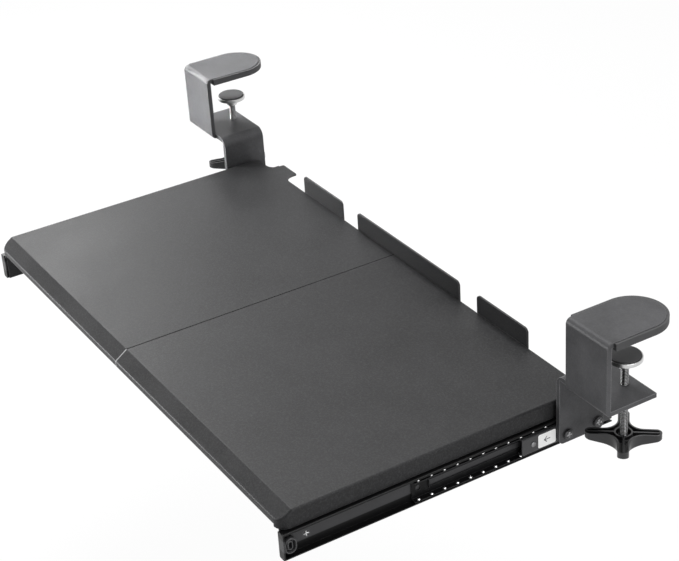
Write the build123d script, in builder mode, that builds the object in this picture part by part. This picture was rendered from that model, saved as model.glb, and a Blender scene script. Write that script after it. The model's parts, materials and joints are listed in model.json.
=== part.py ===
from build123d import *
import os

os.makedirs("parts", exist_ok=True)

# Sizes are millimetres. The origin is midway between the two clamps, level with the undersides of
# their tongue pads and with the rear faces of their front plates: X runs from clamp to clamp, +Y
# runs back along the tongues, and +Z is up.
# The tray stands fully pulled out, as it is used.

# Shared fits
overrun = 2.0              # how far a cut runs past the faces that it opens
thread_fit = 0.05          # radial gap of a screw in its thread
hole_fit = 0.2             # radial gap of a screw in a plain hole
running_gap = 0.3          # gap between faces that slide past each other

# Clamp frame, bent from one steel strip
clamp_sheet = 4.0
clamp_width = 47.3
clamp_bend = 4.8           # outer radius of the bends above and below the front plate
clamp_edge = 0.5           # rounding of the strip's cut edges
tongue_length = 66.5       # front face to tip
mouth_height = 51.0        # underside of the tongue pad to the upper face of the jaw
jaw_length = 46.4          # front face to rear edge
bracket_offset = 12.4      # front plate's side edge to the outer face of the hanging bracket
bracket_relief = 0.4       # rear face of the front plate to the front edge of the bracket
bracket_bend = 8.5         # outer radius of the bend from jaw to bracket
bracket_corner = 4.0

# Soft pad under the tongue
pad_floor = 2.5
pad_rim = 2.0
pad_rim_height = 6.0
pad_setback = 2.4          # rear face of the front plate to the front end of the pad
pad_edge = 0.7

# Clamp screw, its welded nut, the star knob and the pressure foot
desk_thickness = 25.4
thinnest_desk = 15.0
screw_diameter = 6.0
screw_y = 32.1             # front plate's rear face to the screw's axis
screw_foot = 73.1          # upper face of the foot to the knob's hub
nut_width = 10.0
nut_height = 5.0
neck_diameter = 4.0
neck_length = 4.0
rivet_head_diameter = 6.0
rivet_head_height = 2.4
foot_pad_diameter = 24.4
foot_pad_thickness = 2.4
cup_diameter = 26.4
cup_floor = 2.0
cup_rim_height = 1.2
collar_diameter = 10.0
knob_span = 57.0
knob_arm_width = 8.8
knob_hub_diameter = 21.0
knob_waist = 11.0          # radius of the hollows between the arms
knob_tip_height = 5.0
knob_height = 9.6
knob_dish = 5.0            # arm tops down to the hub's floor
knob_wall = 1.3
knob_rib = 1.4
knob_channel = 3.4         # depth of the channels in the arms
knob_ring_diameter = 14.0
knob_bore_depth = 3.6
knob_turn_degrees = {"right": 50, "left": 15}

# Slide: an outer rail under the tray, a ball cage and an inner rail on the bracket
slide_thickness = 8.6      # bracket to the back of the outer rail
rail_gap = 0.7             # tray's side wall to the outer rail below it
outer_height = 23.0
outer_depth = 7.2
outer_sheet = 1.2
outer_lip_height = 0.4
outer_lip_sheet = 0.8
outer_length = 291.0
inner_height = 14.6
inner_depth = 5.7
inner_sheet = 1.2
inner_overhang = 31.8      # inner rail's front end ahead of the bracket's front edge
inner_tail = 17.3          # rear bracket screw to the inner rail's rear end
cage_sheet = 0.7
cage_gap = 0.4             # outer rail's web to the cage
cage_height = 17.4
cage_depth = 5.5
cage_drop = 0.4            # cage's middle line below that of the rails
cage_length = 173.0
cage_lead = 7.6            # inner rail's rear end to the cage's rear end, pulled out
cage_window_height = 5.6
cage_front_land = 15.2
cage_rear_land = 9.0
cage_eye_diameter = 4.6
cage_eye_inset = 5.7       # cage's front end to the eye
cage_tab_depth = 2.0       # tab folded in at the front of the window
ball_diameter = 2.8
ball_gap = 0.25            # radial gap of a ball in the cage
ball_count = 15
ball_lead = 4.1            # cage's front end to the first balls
ball_tail = 7.9            # last balls to the cage's rear end
ball_edge = 1.9            # cage's open edge to the balls' middles
stop_height = 13.6
stop_length = 10.4
stop_depth = 5.2
stop_drop = 1.0            # middle of the front stop below the rails' middle line
stop_edge = 0.9
stop_peg_diameter = 3.0
rear_stop_height = 13.0
rear_stop_depth = 5.0

# Tray, in two halves of bent sheet
tray_width = 508.0
tray_drop = 78.5           # underside of the tongue pads to the tray's surface
tray_sheet = 1.5
tray_depth = 257.6         # front crease to rear edge
tray_gap = 4.7             # tray's side wall to the inner face of the bracket
bevel_depth = 11.0
bevel_height = 7.7
lip_height = 4.7
wall_height = 14.8
corner_radius = 9.0
tray_bend = 2.0            # outer radius of the sheet's bends
seam_x = -11.3
seam_gap = 0.6
tab_height = 17.0
tab_corner = 4.0
short_tab_share = 0.134    # widths and middles of the tabs, as shares of the tray's width
short_tab_place_shares = {"right": 0.2896, "left": -0.2543}
centre_tab_share = 0.3102
centre_tab_place_share = 0.0177
hook_inset = 40.2          # tray's left side to the middle of the hook
hook_width = 25.5
hook_length = 13.7
hook_corner = 2.0
hook_root_radius = 9.0

# Hanger, a bent strip that holds each outer rail under the tray
hanger_sheet = 1.5
hanger_rise = 0.5          # lower edge of the outer rail to that of the hanger
hanger_leg = 24.0
hanger_front_inset = 1.7    # tray's lip to the hanger's front end
hanger_notch = 14.0   # cut away behind the tray's bevelled front
hanger_rear_inset = 2.0     # hanger's rear end to the tray's rear edge

# Plates under the seam
plate_sheet = 1.5
rear_plate_depth = 34.0
front_plate_width = 100.0
front_plate_depth = 34.0
front_plate_inset = 30.0   # front crease to the plate
plate_corner = 3.0

# Small screws, studs and nuts
stud_diameter = 4.0
stud_length = 6.5
small_nut_width = 7.0
small_nut_height = 3.2
thin_nut_height = 2.2
stud_edge = 11.5           # hanger's bent corner to its studs
hanger_stud_shares = (0.14, 0.52, 0.9)
rear_stud_shares = (-0.4, -0.22, 0.16, 0.4)
front_stud_shares = (-0.32, 0.32)
bracket_screw_diameter = 4.0
bracket_screw_head = 8.0
bracket_screw_head_height = 2.3
bracket_screw_round = 1.3
bracket_screw_length = 8.2
bracket_screw_shares = (0.1833, 0.8619)
bracket_screw_rise = 7.5   # bracket's lower edge to the screws
cross_width = 1.1
cross_length = 4.6
cross_depth = 1.3
rail_screw_diameter = 4.0
rail_screw_length = 6.9
rail_screw_shares = (0.0766, 0.809, 0.97)
slot_width = 0.9
slot_depth = 0.5
rivet_diameter = 2.4
rivet_head = 4.2
rivet_head_rise = 0.8
rivet_inset = 10.3         # inner rail's front end to the rivet
marker_width = 16.5
marker_height = 12.0
marker_corner = 1.5
marker_thickness = 0.15
marker_inset = 0.5         # bracket's front edge to the marker

# Places that follow from the sizes
bracket_inner_x = tray_width / 2 + tray_gap
bracket_x = bracket_inner_x + clamp_sheet
plate_side_x = bracket_x + bracket_offset
clamp_x = plate_side_x + clamp_width / 2
clamp_front_y = -clamp_sheet
tongue_centre_y = clamp_front_y + tongue_length - clamp_width / 2
jaw_top_z = -mouth_height
jaw_bottom_z = jaw_top_z - clamp_sheet
jaw_rear_y = clamp_front_y + jaw_length
tray_top_z = -tray_drop
tray_under_z = tray_top_z - tray_sheet
wall_bottom_z = tray_top_z - wall_height
slide_z = wall_bottom_z - rail_gap - outer_height / 2
bracket_bottom_z = slide_z - bracket_screw_rise
bracket_depth = jaw_rear_y - bracket_relief
bracket_screw_ys = [bracket_relief + bracket_depth * share for share in bracket_screw_shares]
foot_top_z = -desk_thickness
hub_z = foot_top_z - screw_foot
knob_top_z = hub_z + knob_dish
cup_top_z = foot_top_z - foot_pad_thickness
neck_top_z = cup_top_z - cup_floor - rivet_head_height + running_gap
collar_bottom_z = neck_top_z - neck_length
screw_bottom_z = hub_z - knob_bore_depth
slide_x = bracket_inner_x - slide_thickness
web_x = slide_x + outer_sheet
inner_front_y = bracket_relief - inner_overhang
inner_rear_y = bracket_screw_ys[-1] + inner_tail
outer_front_y = inner_rear_y - outer_length
lip_y = outer_front_y
crease_y = lip_y + bevel_depth
tray_rear_y = crease_y + tray_depth
lip_top_z = tray_top_z - bevel_height
lip_bottom_z = lip_top_z - lip_height
cage_x = web_x + cage_gap
cage_rear_y = inner_rear_y - cage_lead
cage_front_y = cage_rear_y - cage_length
cage_z = slide_z - cage_drop
ball_x = cage_x + cage_depth - ball_edge
ball_z = (outer_height / 2 - outer_sheet + inner_height / 2) / 2
ball_pitch = (cage_length - ball_lead - ball_tail) / (ball_count - 1)
ball_ys = [cage_front_y + ball_lead + ball_pitch * n for n in range(ball_count)]
window_y = cage_front_y + cage_front_land
stop_y = outer_front_y + outer_sheet + stop_length / 2
stop_z = slide_z - stop_drop
hanger_x = slide_x - hanger_sheet
hanger_front_y = lip_y + hanger_front_inset
hanger_rear_y = tray_rear_y - hanger_rear_inset
hanger_bottom_z = slide_z - outer_height / 2 + hanger_rise
hanger_length = hanger_rear_y - hanger_front_y
stud_x = hanger_x - stud_edge
hanger_stud_ys = [hanger_front_y + hanger_length * share for share in hanger_stud_shares]
rail_screw_span = min(hanger_length, outer_length)
rail_screw_ys = [hanger_front_y + rail_screw_span * share for share in rail_screw_shares]
short_tab_width = tray_width * short_tab_share
centre_tab_width = tray_width * centre_tab_share
centre_tab_x = tray_width * centre_tab_place_share
hook_x = hook_inset - tray_width / 2
rear_stud_xs = [centre_tab_x + centre_tab_width * share for share in rear_stud_shares]
rear_stud_y = tray_rear_y - rear_plate_depth / 2
front_stud_xs = [seam_x + front_plate_width * share for share in front_stud_shares]
front_plate_y = crease_y + front_plate_inset
front_stud_y = front_plate_y + front_plate_depth / 2
marker_y = bracket_relief - marker_inset - marker_width / 2
rivet_y = inner_front_y + rivet_inset

# How far the tray and the feet travel
tray_travel = inner_front_y - (stop_y + stop_length / 2) - running_gap * 2
foot_rise = desk_thickness - thinnest_desk
foot_fall = collar_bottom_z - jaw_top_z - running_gap * 2
print(f"tray travel {tray_travel:.2f}, foot up {foot_rise:.2f}, foot down {foot_fall:.2f}")


for side in ("right", "left"):

    # Clamp frame: tongue, front plate and jaw are one strip, and the jaw turns down at its inner
    # side into the bracket that carries the slide.
    with BuildPart() as clamp_frame:
        with BuildSketch(Plane.YZ.offset(plate_side_x)):
            with BuildLine():
                Polyline(
                    (tongue_centre_y, pad_floor + clamp_sheet),
                    (clamp_front_y, pad_floor + clamp_sheet),
                    (clamp_front_y, jaw_bottom_z),
                    (jaw_rear_y, jaw_bottom_z),
                    (jaw_rear_y, jaw_top_z),
                    (0, jaw_top_z),
                    (0, pad_floor),
                    (tongue_centre_y, pad_floor),
                    close=True,
                )
            strip = make_face()
            outer_corners = strip.vertices().sort_by(Axis.X)[:2]
            fillet(outer_corners, clamp_bend)
        extrude(amount=clamp_width)
        with BuildSketch(Plane.XY.offset(pad_floor)):
            with Locations((clamp_x, tongue_centre_y)):
                Circle(clamp_width / 2)
        extrude(amount=clamp_sheet)
        with BuildSketch(Plane.XZ.offset(-bracket_relief)):
            with BuildLine():
                Polyline(
                    (clamp_x, jaw_bottom_z),
                    (bracket_x, jaw_bottom_z),
                    (bracket_x, bracket_bottom_z),
                    (bracket_inner_x, bracket_bottom_z),
                    (bracket_inner_x, jaw_top_z),
                    (clamp_x, jaw_top_z),
                    close=True,
                )
            hanger = make_face()
            outer_corner = hanger.vertices().group_by(Axis.X)[0].sort_by(Axis.Y)[-1]
            fillet(outer_corner, bracket_bend)
            inner_corner = hanger.vertices().filter_by(
                lambda corner: abs(corner.X - bracket_x) < clamp_edge
                and abs(corner.Y - jaw_bottom_z) < clamp_edge
            )
            fillet(inner_corner, bracket_bend - clamp_sheet)
        extrude(amount=bracket_relief - jaw_rear_y)
        lower_corners = clamp_frame.edges().filter_by(Axis.X).group_by(Axis.Z)[0]
        fillet(lower_corners, bracket_corner)
        with BuildSketch(Plane.XY.offset(jaw_top_z + overrun)):
            with Locations((clamp_x, screw_y)):
                Circle(screw_diameter / 2 + hole_fit)
        extrude(amount=-clamp_sheet - overrun * 2, mode=Mode.SUBTRACT)
        with BuildSketch(Plane.YZ.offset(bracket_x + overrun)):
            with Locations(*[(y, slide_z) for y in bracket_screw_ys]):
                Circle(bracket_screw_diameter / 2 + hole_fit)
        extrude(amount=-clamp_sheet - overrun * 2, mode=Mode.SUBTRACT)
        tongue_rims = clamp_frame.edges().filter_by(GeomType.CIRCLE).group_by(Axis.Z)[-1]
        fillet(tongue_rims, clamp_edge)
        if side == "left":
            mirror(about=Plane.YZ, mode=Mode.REPLACE)
    clamp_frame.part.label = side + "_clamp_frame"
    export_step(clamp_frame.part, f"parts/{side}_clamp_frame.step")

    # Soft pad: a floor under the tongue and a rim round its edge, open towards the front plate
    with BuildPart() as tongue_pad:
        pad_length = tongue_centre_y - pad_setback
        with BuildSketch():
            with Locations((clamp_x, tongue_centre_y)):
                Rectangle(clamp_width + pad_rim * 2, pad_length, align=(Align.CENTER, Align.MAX))
                Circle(clamp_width / 2 + pad_rim)
        extrude(amount=pad_rim_height)
        with BuildSketch(Plane.XY.offset(pad_floor)):
            with Locations((clamp_x, tongue_centre_y)):
                Rectangle(clamp_width, pad_length + overrun, align=(Align.CENTER, Align.MAX))
                Circle(clamp_width / 2)
        extrude(amount=pad_rim_height, mode=Mode.SUBTRACT)
        fillet(tongue_pad.faces().sort_by(Axis.Z)[0].edges(), pad_edge)
        if side == "left":
            mirror(about=Plane.YZ, mode=Mode.REPLACE)
    tongue_pad.part.label = side + "_tongue_pad"
    export_step(tongue_pad.part, f"parts/{side}_tongue_pad.step")

    # Hexagon nut welded under the jaw
    with BuildPart() as clamp_nut:
        with BuildSketch(Plane.XY.offset(jaw_bottom_z)):
            with Locations((clamp_x, screw_y)):
                RegularPolygon(nut_width / 2, 6, major_radius=False)
                Circle(screw_diameter / 2 + thread_fit, mode=Mode.SUBTRACT)
        extrude(amount=-nut_height)
        if side == "left":
            mirror(about=Plane.YZ, mode=Mode.REPLACE)
    clamp_nut.part.label = side + "_clamp_nut"
    export_step(clamp_nut.part, f"parts/{side}_clamp_nut.step")

    # Threaded spindle: its thin neck turns in the foot and is spread over inside it
    with BuildPart() as clamp_screw:
        with BuildSketch(Plane.XY.offset(screw_bottom_z)):
            with Locations((clamp_x, screw_y)):
                Circle(screw_diameter / 2)
        extrude(amount=collar_bottom_z - screw_bottom_z)
        with BuildSketch(Plane.XY.offset(collar_bottom_z)):
            with Locations((clamp_x, screw_y)):
                Circle(neck_diameter / 2)
        extrude(amount=neck_length + running_gap)
        with BuildSketch(Plane.XY.offset(neck_top_z + running_gap)):
            with Locations((clamp_x, screw_y)):
                Circle(rivet_head_diameter / 2)
        extrude(amount=rivet_head_height)
        if side == "left":
            mirror(about=Plane.YZ, mode=Mode.REPLACE)
    clamp_screw.part.label = side + "_clamp_screw"
    export_step(clamp_screw.part, f"parts/{side}_clamp_screw.step")

    # Pressure foot: a shallow metal cup with a collar below
    with BuildPart() as pressure_cup:
        with BuildSketch(Plane.XY.offset(cup_top_z + cup_rim_height)):
            with Locations((clamp_x, screw_y)):
                Circle(cup_diameter / 2)
        extrude(amount=-cup_rim_height - cup_floor)
        with BuildSketch(Plane.XY.offset(collar_bottom_z)):
            with Locations((clamp_x, screw_y)):
                Circle(collar_diameter / 2)
        extrude(amount=cup_top_z - collar_bottom_z)
        with BuildSketch(Plane.XY.offset(cup_top_z)):
            with Locations((clamp_x, screw_y)):
                Circle(foot_pad_diameter / 2 + thread_fit)
        extrude(amount=cup_rim_height + overrun, mode=Mode.SUBTRACT)
        with BuildSketch(Plane.XY.offset(neck_top_z)):
            with Locations((clamp_x, screw_y)):
                Circle(rivet_head_diameter / 2 + running_gap)
        extrude(amount=cup_top_z - neck_top_z, mode=Mode.SUBTRACT)
        with BuildSketch(Plane.XY.offset(collar_bottom_z)):
            with Locations((clamp_x, screw_y)):
                Circle(neck_diameter / 2 + thread_fit)
        extrude(amount=neck_length, mode=Mode.SUBTRACT)
        if side == "left":
            mirror(about=Plane.YZ, mode=Mode.REPLACE)
    pressure_cup.part.label = side + "_pressure_cup"
    export_step(pressure_cup.part, f"parts/{side}_pressure_cup.step")

    # Rubber disc on top of the foot, which presses upwards
    with BuildPart() as foot_pad:
        with BuildSketch(Plane.XY.offset(foot_top_z)):
            with Locations((clamp_x, screw_y)):
                Circle(foot_pad_diameter / 2)
        extrude(amount=-foot_pad_thickness)
        fillet(foot_pad.faces().sort_by(Axis.Z)[-1].edges(), pad_edge)
        if side == "left":
            mirror(about=Plane.YZ, mode=Mode.REPLACE)
    foot_pad.part.label = side + "_foot_pad"
    export_step(foot_pad.part, f"parts/{side}_foot_pad.step")

    # Star knob: four arms that thin towards their tips, with ribbed channels above
    with BuildPart() as knob:
        star_plane = Plane(origin=(clamp_x, screw_y, knob_top_z)).rotated((0, 0, knob_turn_degrees[side]))
        with BuildSketch(star_plane) as star:
            SlotOverall(knob_span, knob_arm_width)
            SlotOverall(knob_span, knob_arm_width, rotation=90)
            inner_corners = star.vertices().group_by(SortBy.DISTANCE)[0]
            fillet(inner_corners, knob_waist)
            Circle(knob_hub_diameter / 2)
        extrude(amount=-knob_height)
        with BuildSketch(Plane.XZ.offset(-screw_y)):
            with BuildLine():
                Polyline(
                    (clamp_x, knob_top_z - knob_height),
                    (clamp_x + knob_hub_diameter / 2, knob_top_z - knob_height),
                    (clamp_x + knob_span / 2, knob_top_z - knob_tip_height),
                    (clamp_x + knob_span / 2, knob_top_z),
                    (clamp_x, knob_top_z),
                    close=True,
                )
            make_face()
        spindle_axis = Axis((clamp_x, screw_y, 0), (0, 0, 1))
        revolve(axis=spindle_axis, mode=Mode.INTERSECT)
        with BuildSketch(star_plane) as channels:
            SlotOverall(knob_span, knob_arm_width)
            SlotOverall(knob_span, knob_arm_width, rotation=90)
            channel_corners = channels.vertices().group_by(SortBy.DISTANCE)[0]
            fillet(channel_corners, knob_waist)
            offset(amount=-knob_wall, mode=Mode.REPLACE)
            Rectangle(knob_span, knob_rib, mode=Mode.SUBTRACT)
            Rectangle(knob_rib, knob_span, mode=Mode.SUBTRACT)
            Circle(knob_ring_diameter / 2, mode=Mode.SUBTRACT)
        extrude(amount=-knob_channel, mode=Mode.SUBTRACT)
        with BuildSketch(star_plane):
            Circle(knob_ring_diameter / 2 - knob_wall)
        extrude(amount=-knob_dish, mode=Mode.SUBTRACT)
        with BuildSketch(star_plane):
            Circle(screw_diameter / 2)
        extrude(amount=-knob_dish - knob_bore_depth, mode=Mode.SUBTRACT)
        if side == "left":
            mirror(about=Plane.YZ, mode=Mode.REPLACE)
    knob.part.label = side + "_knob"
    export_step(knob.part, f"parts/{side}_knob.step")

    # Outer rail: a C channel under the tray's side wall, closed in front, with a stop behind
    with BuildPart() as outer_rail:
        with BuildSketch(Plane.XZ.offset(-outer_front_y)):
            with Locations((slide_x, slide_z)):
                Rectangle(outer_depth, outer_height, align=(Align.MIN, Align.CENTER))
            with Locations((web_x, slide_z)):
                Rectangle(
                    outer_depth,
                    outer_height - outer_sheet * 2,
                    align=(Align.MIN, Align.CENTER),
                    mode=Mode.SUBTRACT,
                )
            lip_x = slide_x + outer_depth
            with Locations((lip_x, slide_z)):
                Rectangle(
                    outer_lip_sheet, outer_height - outer_sheet, align=(Align.MAX, Align.CENTER)
                )
                Rectangle(
                    outer_lip_sheet,
                    outer_height - outer_sheet * 2 - outer_lip_height * 2,
                    align=(Align.MAX, Align.CENTER),
                    mode=Mode.SUBTRACT,
                )
        extrude(amount=-outer_length - running_gap - outer_sheet)
        with BuildSketch(Plane.XZ.offset(-outer_front_y)):
            with Locations((slide_x, slide_z)):
                Rectangle(outer_depth, outer_height, align=(Align.MIN, Align.CENTER))
        extrude(amount=-outer_sheet)
        with BuildSketch(Plane.XZ.offset(-inner_rear_y - running_gap)):
            with Locations((slide_x, slide_z)):
                Rectangle(rear_stop_depth, rear_stop_height, align=(Align.MIN, Align.CENTER))
        extrude(amount=-outer_sheet)
        long_corners = outer_rail.edges().filter_by(Axis.Y).filter_by(
            lambda edge: abs(abs(edge.center().Z - slide_z) - outer_height / 2) < thread_fit
        )
        fillet(long_corners, outer_sheet)
        with BuildSketch(Plane.YZ.offset(slide_x - overrun)):
            with Locations((stop_y, stop_z)):
                Circle(stop_peg_diameter / 2)
        extrude(amount=outer_sheet + overrun * 2, mode=Mode.SUBTRACT)
        for y in rail_screw_ys:
            with BuildSketch(Plane.XZ.offset(-y)):
                with BuildLine():
                    Polyline(
                        (slide_x, slide_z),
                        (slide_x, slide_z + rail_screw_diameter / 2 + thread_fit),
                        (web_x, slide_z + rail_screw_diameter / 2 + outer_sheet + thread_fit),
                        (web_x, slide_z),
                        close=True,
                    )
                make_face()
            revolve(axis=Axis((slide_x, y, slide_z), (1, 0, 0)), mode=Mode.SUBTRACT)
        if side == "left":
            mirror(about=Plane.YZ, mode=Mode.REPLACE)
    outer_rail.part.label = side + "_outer_rail"
    export_step(outer_rail.part, f"parts/{side}_outer_rail.step")

    # Inner rail: a short channel on the bracket, facing the outer rail
    with BuildPart() as inner_rail:
        with BuildSketch(Plane.XZ.offset(-inner_front_y)) as section:
            with Locations((bracket_inner_x, slide_z)):
                Rectangle(inner_depth, inner_height, align=(Align.MAX, Align.CENTER))
            outer_corners = section.vertices().group_by(Axis.X)[-1]
            fillet(outer_corners, inner_sheet)
            with Locations((bracket_inner_x - inner_sheet, slide_z)):
                Rectangle(
                    inner_depth,
                    inner_height - inner_sheet * 2,
                    align=(Align.MAX, Align.CENTER),
                    mode=Mode.SUBTRACT,
                )
        extrude(amount=inner_front_y - inner_rear_y)
        with BuildSketch(Plane.YZ.offset(bracket_inner_x + overrun)):
            with Locations(*[(y, slide_z) for y in bracket_screw_ys]):
                Circle(bracket_screw_diameter / 2 + hole_fit)
            with Locations((rivet_y, slide_z)):
                Circle(rivet_diameter / 2)
        extrude(amount=-inner_sheet - overrun * 2, mode=Mode.SUBTRACT)
        if side == "left":
            mirror(about=Plane.YZ, mode=Mode.REPLACE)
    inner_rail.part.label = side + "_inner_rail"
    export_step(inner_rail.part, f"parts/{side}_inner_rail.step")

    # Ball cage: a thin channel with a long window and two rows of pierced ball holes
    with BuildPart() as ball_cage:
        with BuildSketch(Plane.XZ.offset(-cage_front_y)):
            with Locations((cage_x, cage_z)):
                Rectangle(cage_depth, cage_height, align=(Align.MIN, Align.CENTER))
            with Locations((cage_x + cage_sheet, cage_z)):
                Rectangle(
                    cage_depth,
                    cage_height - cage_sheet * 2,
                    align=(Align.MIN, Align.CENTER),
                    mode=Mode.SUBTRACT,
                )
        extrude(amount=-cage_length)
        with BuildSketch(Plane.YZ.offset(cage_x - overrun)):
            with Locations((window_y, cage_z)):
                Rectangle(
                    cage_length - cage_front_land - cage_rear_land,
                    cage_window_height,
                    align=(Align.MIN, Align.CENTER),
                )
            with Locations((cage_front_y + cage_eye_inset, cage_z)):
                Circle(cage_eye_diameter / 2)
        extrude(amount=cage_sheet + overrun * 2, mode=Mode.SUBTRACT)
        with BuildSketch(Plane.XY.offset(cage_z - cage_height)):
            with Locations(*[(ball_x, y) for y in ball_ys]):
                Circle(ball_diameter / 2 + ball_gap)
        extrude(amount=cage_height * 2, mode=Mode.SUBTRACT)
        with BuildSketch(Plane.YZ.offset(cage_x)):
            with Locations((window_y, cage_z)):
                Rectangle(cage_sheet, cage_window_height, align=(Align.MAX, Align.CENTER))
        extrude(amount=cage_tab_depth)
        if side == "left":
            mirror(about=Plane.YZ, mode=Mode.REPLACE)
    ball_cage.part.label = side + "_ball_cage"
    export_step(ball_cage.part, f"parts/{side}_ball_cage.step")

    # Steel balls, two rows of them in the cage
    with BuildPart() as balls:
        with Locations(*[(ball_x, y, slide_z + rise) for y in ball_ys for rise in (ball_z, -ball_z)]):
            Sphere(ball_diameter / 2)
        if side == "left":
            mirror(about=Plane.YZ, mode=Mode.REPLACE)
    balls.part.label = side + "_balls"
    export_step(balls.part, f"parts/{side}_balls.step")

    # Front stop: an oval bumper with a peg through the outer rail's web
    with BuildPart() as front_stop:
        with BuildSketch(Plane.YZ.offset(web_x)):
            with Locations((stop_y, stop_z)):
                SlotOverall(stop_height, stop_length, rotation=90)
        extrude(amount=stop_depth)
        fillet(front_stop.faces().sort_by(Axis.X)[-1].edges(), stop_edge)
        with BuildSketch(Plane.YZ.offset(web_x)):
            with Locations((stop_y, stop_z)):
                Circle(stop_peg_diameter / 2)
        extrude(amount=-outer_sheet)
        if side == "left":
            mirror(about=Plane.YZ, mode=Mode.REPLACE)
    front_stop.part.label = side + "_front_stop"
    export_step(front_stop.part, f"parts/{side}_front_stop.step")

    # Hanger for the outer rail: a bent strip under the tray, notched behind the bevelled front
    with BuildPart() as rail_angle:
        with BuildSketch(Plane.YZ.offset(hanger_x)):
            with BuildLine():
                Polyline(
                    (hanger_rear_y, tray_under_z),
                    (hanger_front_y + hanger_notch, tray_under_z),
                    (hanger_front_y + hanger_notch, wall_bottom_z),
                    (hanger_front_y, wall_bottom_z),
                    (hanger_front_y, hanger_bottom_z),
                    (hanger_rear_y, hanger_bottom_z),
                    close=True,
                )
            make_face()
        extrude(amount=hanger_sheet)
        with BuildSketch(Plane.XY.offset(tray_under_z)):
            with Locations((slide_x, hanger_rear_y)):
                Rectangle(
                    hanger_leg,
                    hanger_length - hanger_notch,
                    align=(Align.MAX, Align.MAX),
                )
            with Locations(*[(stud_x, y) for y in hanger_stud_ys]):
                Circle(stud_diameter / 2 + hole_fit, mode=Mode.SUBTRACT)
        extrude(amount=-hanger_sheet)
        with BuildSketch(Plane.YZ.offset(hanger_x - overrun)):
            with Locations(*[(y, slide_z) for y in rail_screw_ys]):
                Circle(rail_screw_diameter / 2 + hole_fit)
        extrude(amount=hanger_sheet + overrun * 2, mode=Mode.SUBTRACT)
        if side == "left":
            mirror(about=Plane.YZ, mode=Mode.REPLACE)
    rail_angle.part.label = side + "_rail_angle"
    export_step(rail_angle.part, f"parts/{side}_rail_angle.step")

    # Nuts that hold the hanger to the tray's studs
    with BuildPart() as angle_nuts:
        with BuildSketch(Plane.XY.offset(tray_under_z - hanger_sheet)):
            with Locations(*[(stud_x, y) for y in hanger_stud_ys]):
                RegularPolygon(small_nut_width / 2, 6, major_radius=False)
                Circle(stud_diameter / 2 + thread_fit, mode=Mode.SUBTRACT)
        extrude(amount=-small_nut_height)
        if side == "left":
            mirror(about=Plane.YZ, mode=Mode.REPLACE)
    angle_nuts.part.label = side + "_angle_nuts"
    export_step(angle_nuts.part, f"parts/{side}_angle_nuts.step")

    # Flat-headed screws through the outer rail's web, level with it so that the cage can pass
    for place, y in zip(("front", "middle", "rear"), rail_screw_ys):
        with BuildPart() as rail_screw:
            with BuildSketch(Plane.XZ.offset(-y)):
                with BuildLine():
                    Polyline(
                        (web_x - rail_screw_length, slide_z),
                        (web_x - rail_screw_length, slide_z + rail_screw_diameter / 2),
                        (slide_x, slide_z + rail_screw_diameter / 2),
                        (web_x, slide_z + rail_screw_diameter / 2 + outer_sheet),
                        (web_x, slide_z),
                        close=True,
                    )
                make_face()
            revolve(axis=Axis((slide_x, y, slide_z), (1, 0, 0)))
            with BuildSketch(Plane.YZ.offset(web_x)):
                with Locations((y, slide_z)):
                    Rectangle(slot_width, cross_length)
                    Rectangle(cross_length, slot_width)
            extrude(amount=-slot_depth, mode=Mode.SUBTRACT)
            if side == "left":
                mirror(about=Plane.YZ, mode=Mode.REPLACE)
        rail_screw.part.label = f"{side}_rail_screw_{place}"
        export_step(rail_screw.part, f"parts/{side}_rail_screw_{place}.step")

    # Nuts behind the hanger
    with BuildPart() as rail_nuts:
        with BuildSketch(Plane.YZ.offset(hanger_x)):
            with Locations(*[(y, slide_z) for y in rail_screw_ys]):
                RegularPolygon(small_nut_width / 2, 6, major_radius=False)
                Circle(rail_screw_diameter / 2 + thread_fit, mode=Mode.SUBTRACT)
        extrude(amount=-small_nut_height)
        if side == "left":
            mirror(about=Plane.YZ, mode=Mode.REPLACE)
    rail_nuts.part.label = side + "_rail_nuts"
    export_step(rail_nuts.part, f"parts/{side}_rail_nuts.step")

    # Pan-headed screws that hold the inner rail to the bracket
    for place, y in zip(("front", "rear"), bracket_screw_ys):
        with BuildPart() as bracket_screw:
            with BuildSketch(Plane.YZ.offset(bracket_x)):
                with Locations((y, slide_z)):
                    Circle(bracket_screw_head / 2)
            extrude(amount=bracket_screw_head_height)
            fillet(bracket_screw.faces().sort_by(Axis.X)[-1].edges(), bracket_screw_round)
            with BuildSketch(Plane.YZ.offset(bracket_x + bracket_screw_head_height)):
                with Locations((y, slide_z)):
                    Rectangle(cross_width, cross_length)
                    Rectangle(cross_length, cross_width)
            extrude(amount=-cross_depth, mode=Mode.SUBTRACT)
            with BuildSketch(Plane.YZ.offset(bracket_x)):
                with Locations((y, slide_z)):
                    Circle(bracket_screw_diameter / 2)
            extrude(amount=-bracket_screw_length)
            if side == "left":
                mirror(about=Plane.YZ, mode=Mode.REPLACE)
        bracket_screw.part.label = f"{side}_bracket_screw_{place}"
        export_step(bracket_screw.part, f"parts/{side}_bracket_screw_{place}.step")

    # Thin nuts inside the inner rail
    with BuildPart() as bracket_nuts:
        with BuildSketch(Plane.YZ.offset(bracket_inner_x - inner_sheet)):
            with Locations(*[(y, slide_z) for y in bracket_screw_ys]):
                RegularPolygon(small_nut_width / 2, 6, major_radius=False)
                Circle(bracket_screw_diameter / 2 + thread_fit, mode=Mode.SUBTRACT)
        extrude(amount=-thin_nut_height)
        if side == "left":
            mirror(about=Plane.YZ, mode=Mode.REPLACE)
    bracket_nuts.part.label = side + "_bracket_nuts"
    export_step(bracket_nuts.part, f"parts/{side}_bracket_nuts.step")

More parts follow.
